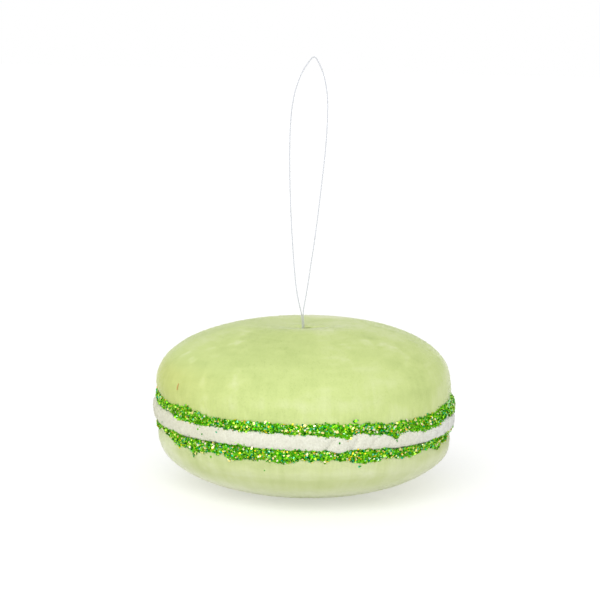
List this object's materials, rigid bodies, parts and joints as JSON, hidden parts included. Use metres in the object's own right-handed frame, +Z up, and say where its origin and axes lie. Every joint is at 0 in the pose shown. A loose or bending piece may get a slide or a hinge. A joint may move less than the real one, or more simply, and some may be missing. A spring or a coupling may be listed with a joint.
{
  "type": "macaron hanging ornament",
  "caption": "Macaron-shaped hanging ornament: domed pale green velvet shells, bands of coarse green glitter, a white plush cord filling and a clear nylon loop.",
  "frame": {"origin": "centre of the flat spot under the lower shell, on the surface that the ornament stands on", "axes": "+Z up along the axis of the shells, front of the ornament towards -Y, +X to the right as seen from the front"},
  "size_m": [0.1224, 0.1212, 0.172],
  "materials": {
    "velvet": "short-pile pale lime green velvet over foam, brushed, with soft sheen",
    "plush": "white plush cord with a fine fuzzy pile",
    "glitter": "coarse iridescent green glitter flakes in glue",
    "nylon": "clear smooth nylon monofilament"
  },
  "bodies": {
    "root": {"top_shell": "velvet", "bottom_shell": "velvet", "filling": "plush", "glitter_band_top": "glitter", "glitter_band_bottom": "glitter", "hanging_loop": "nylon"}
  },
  "joints": []
}
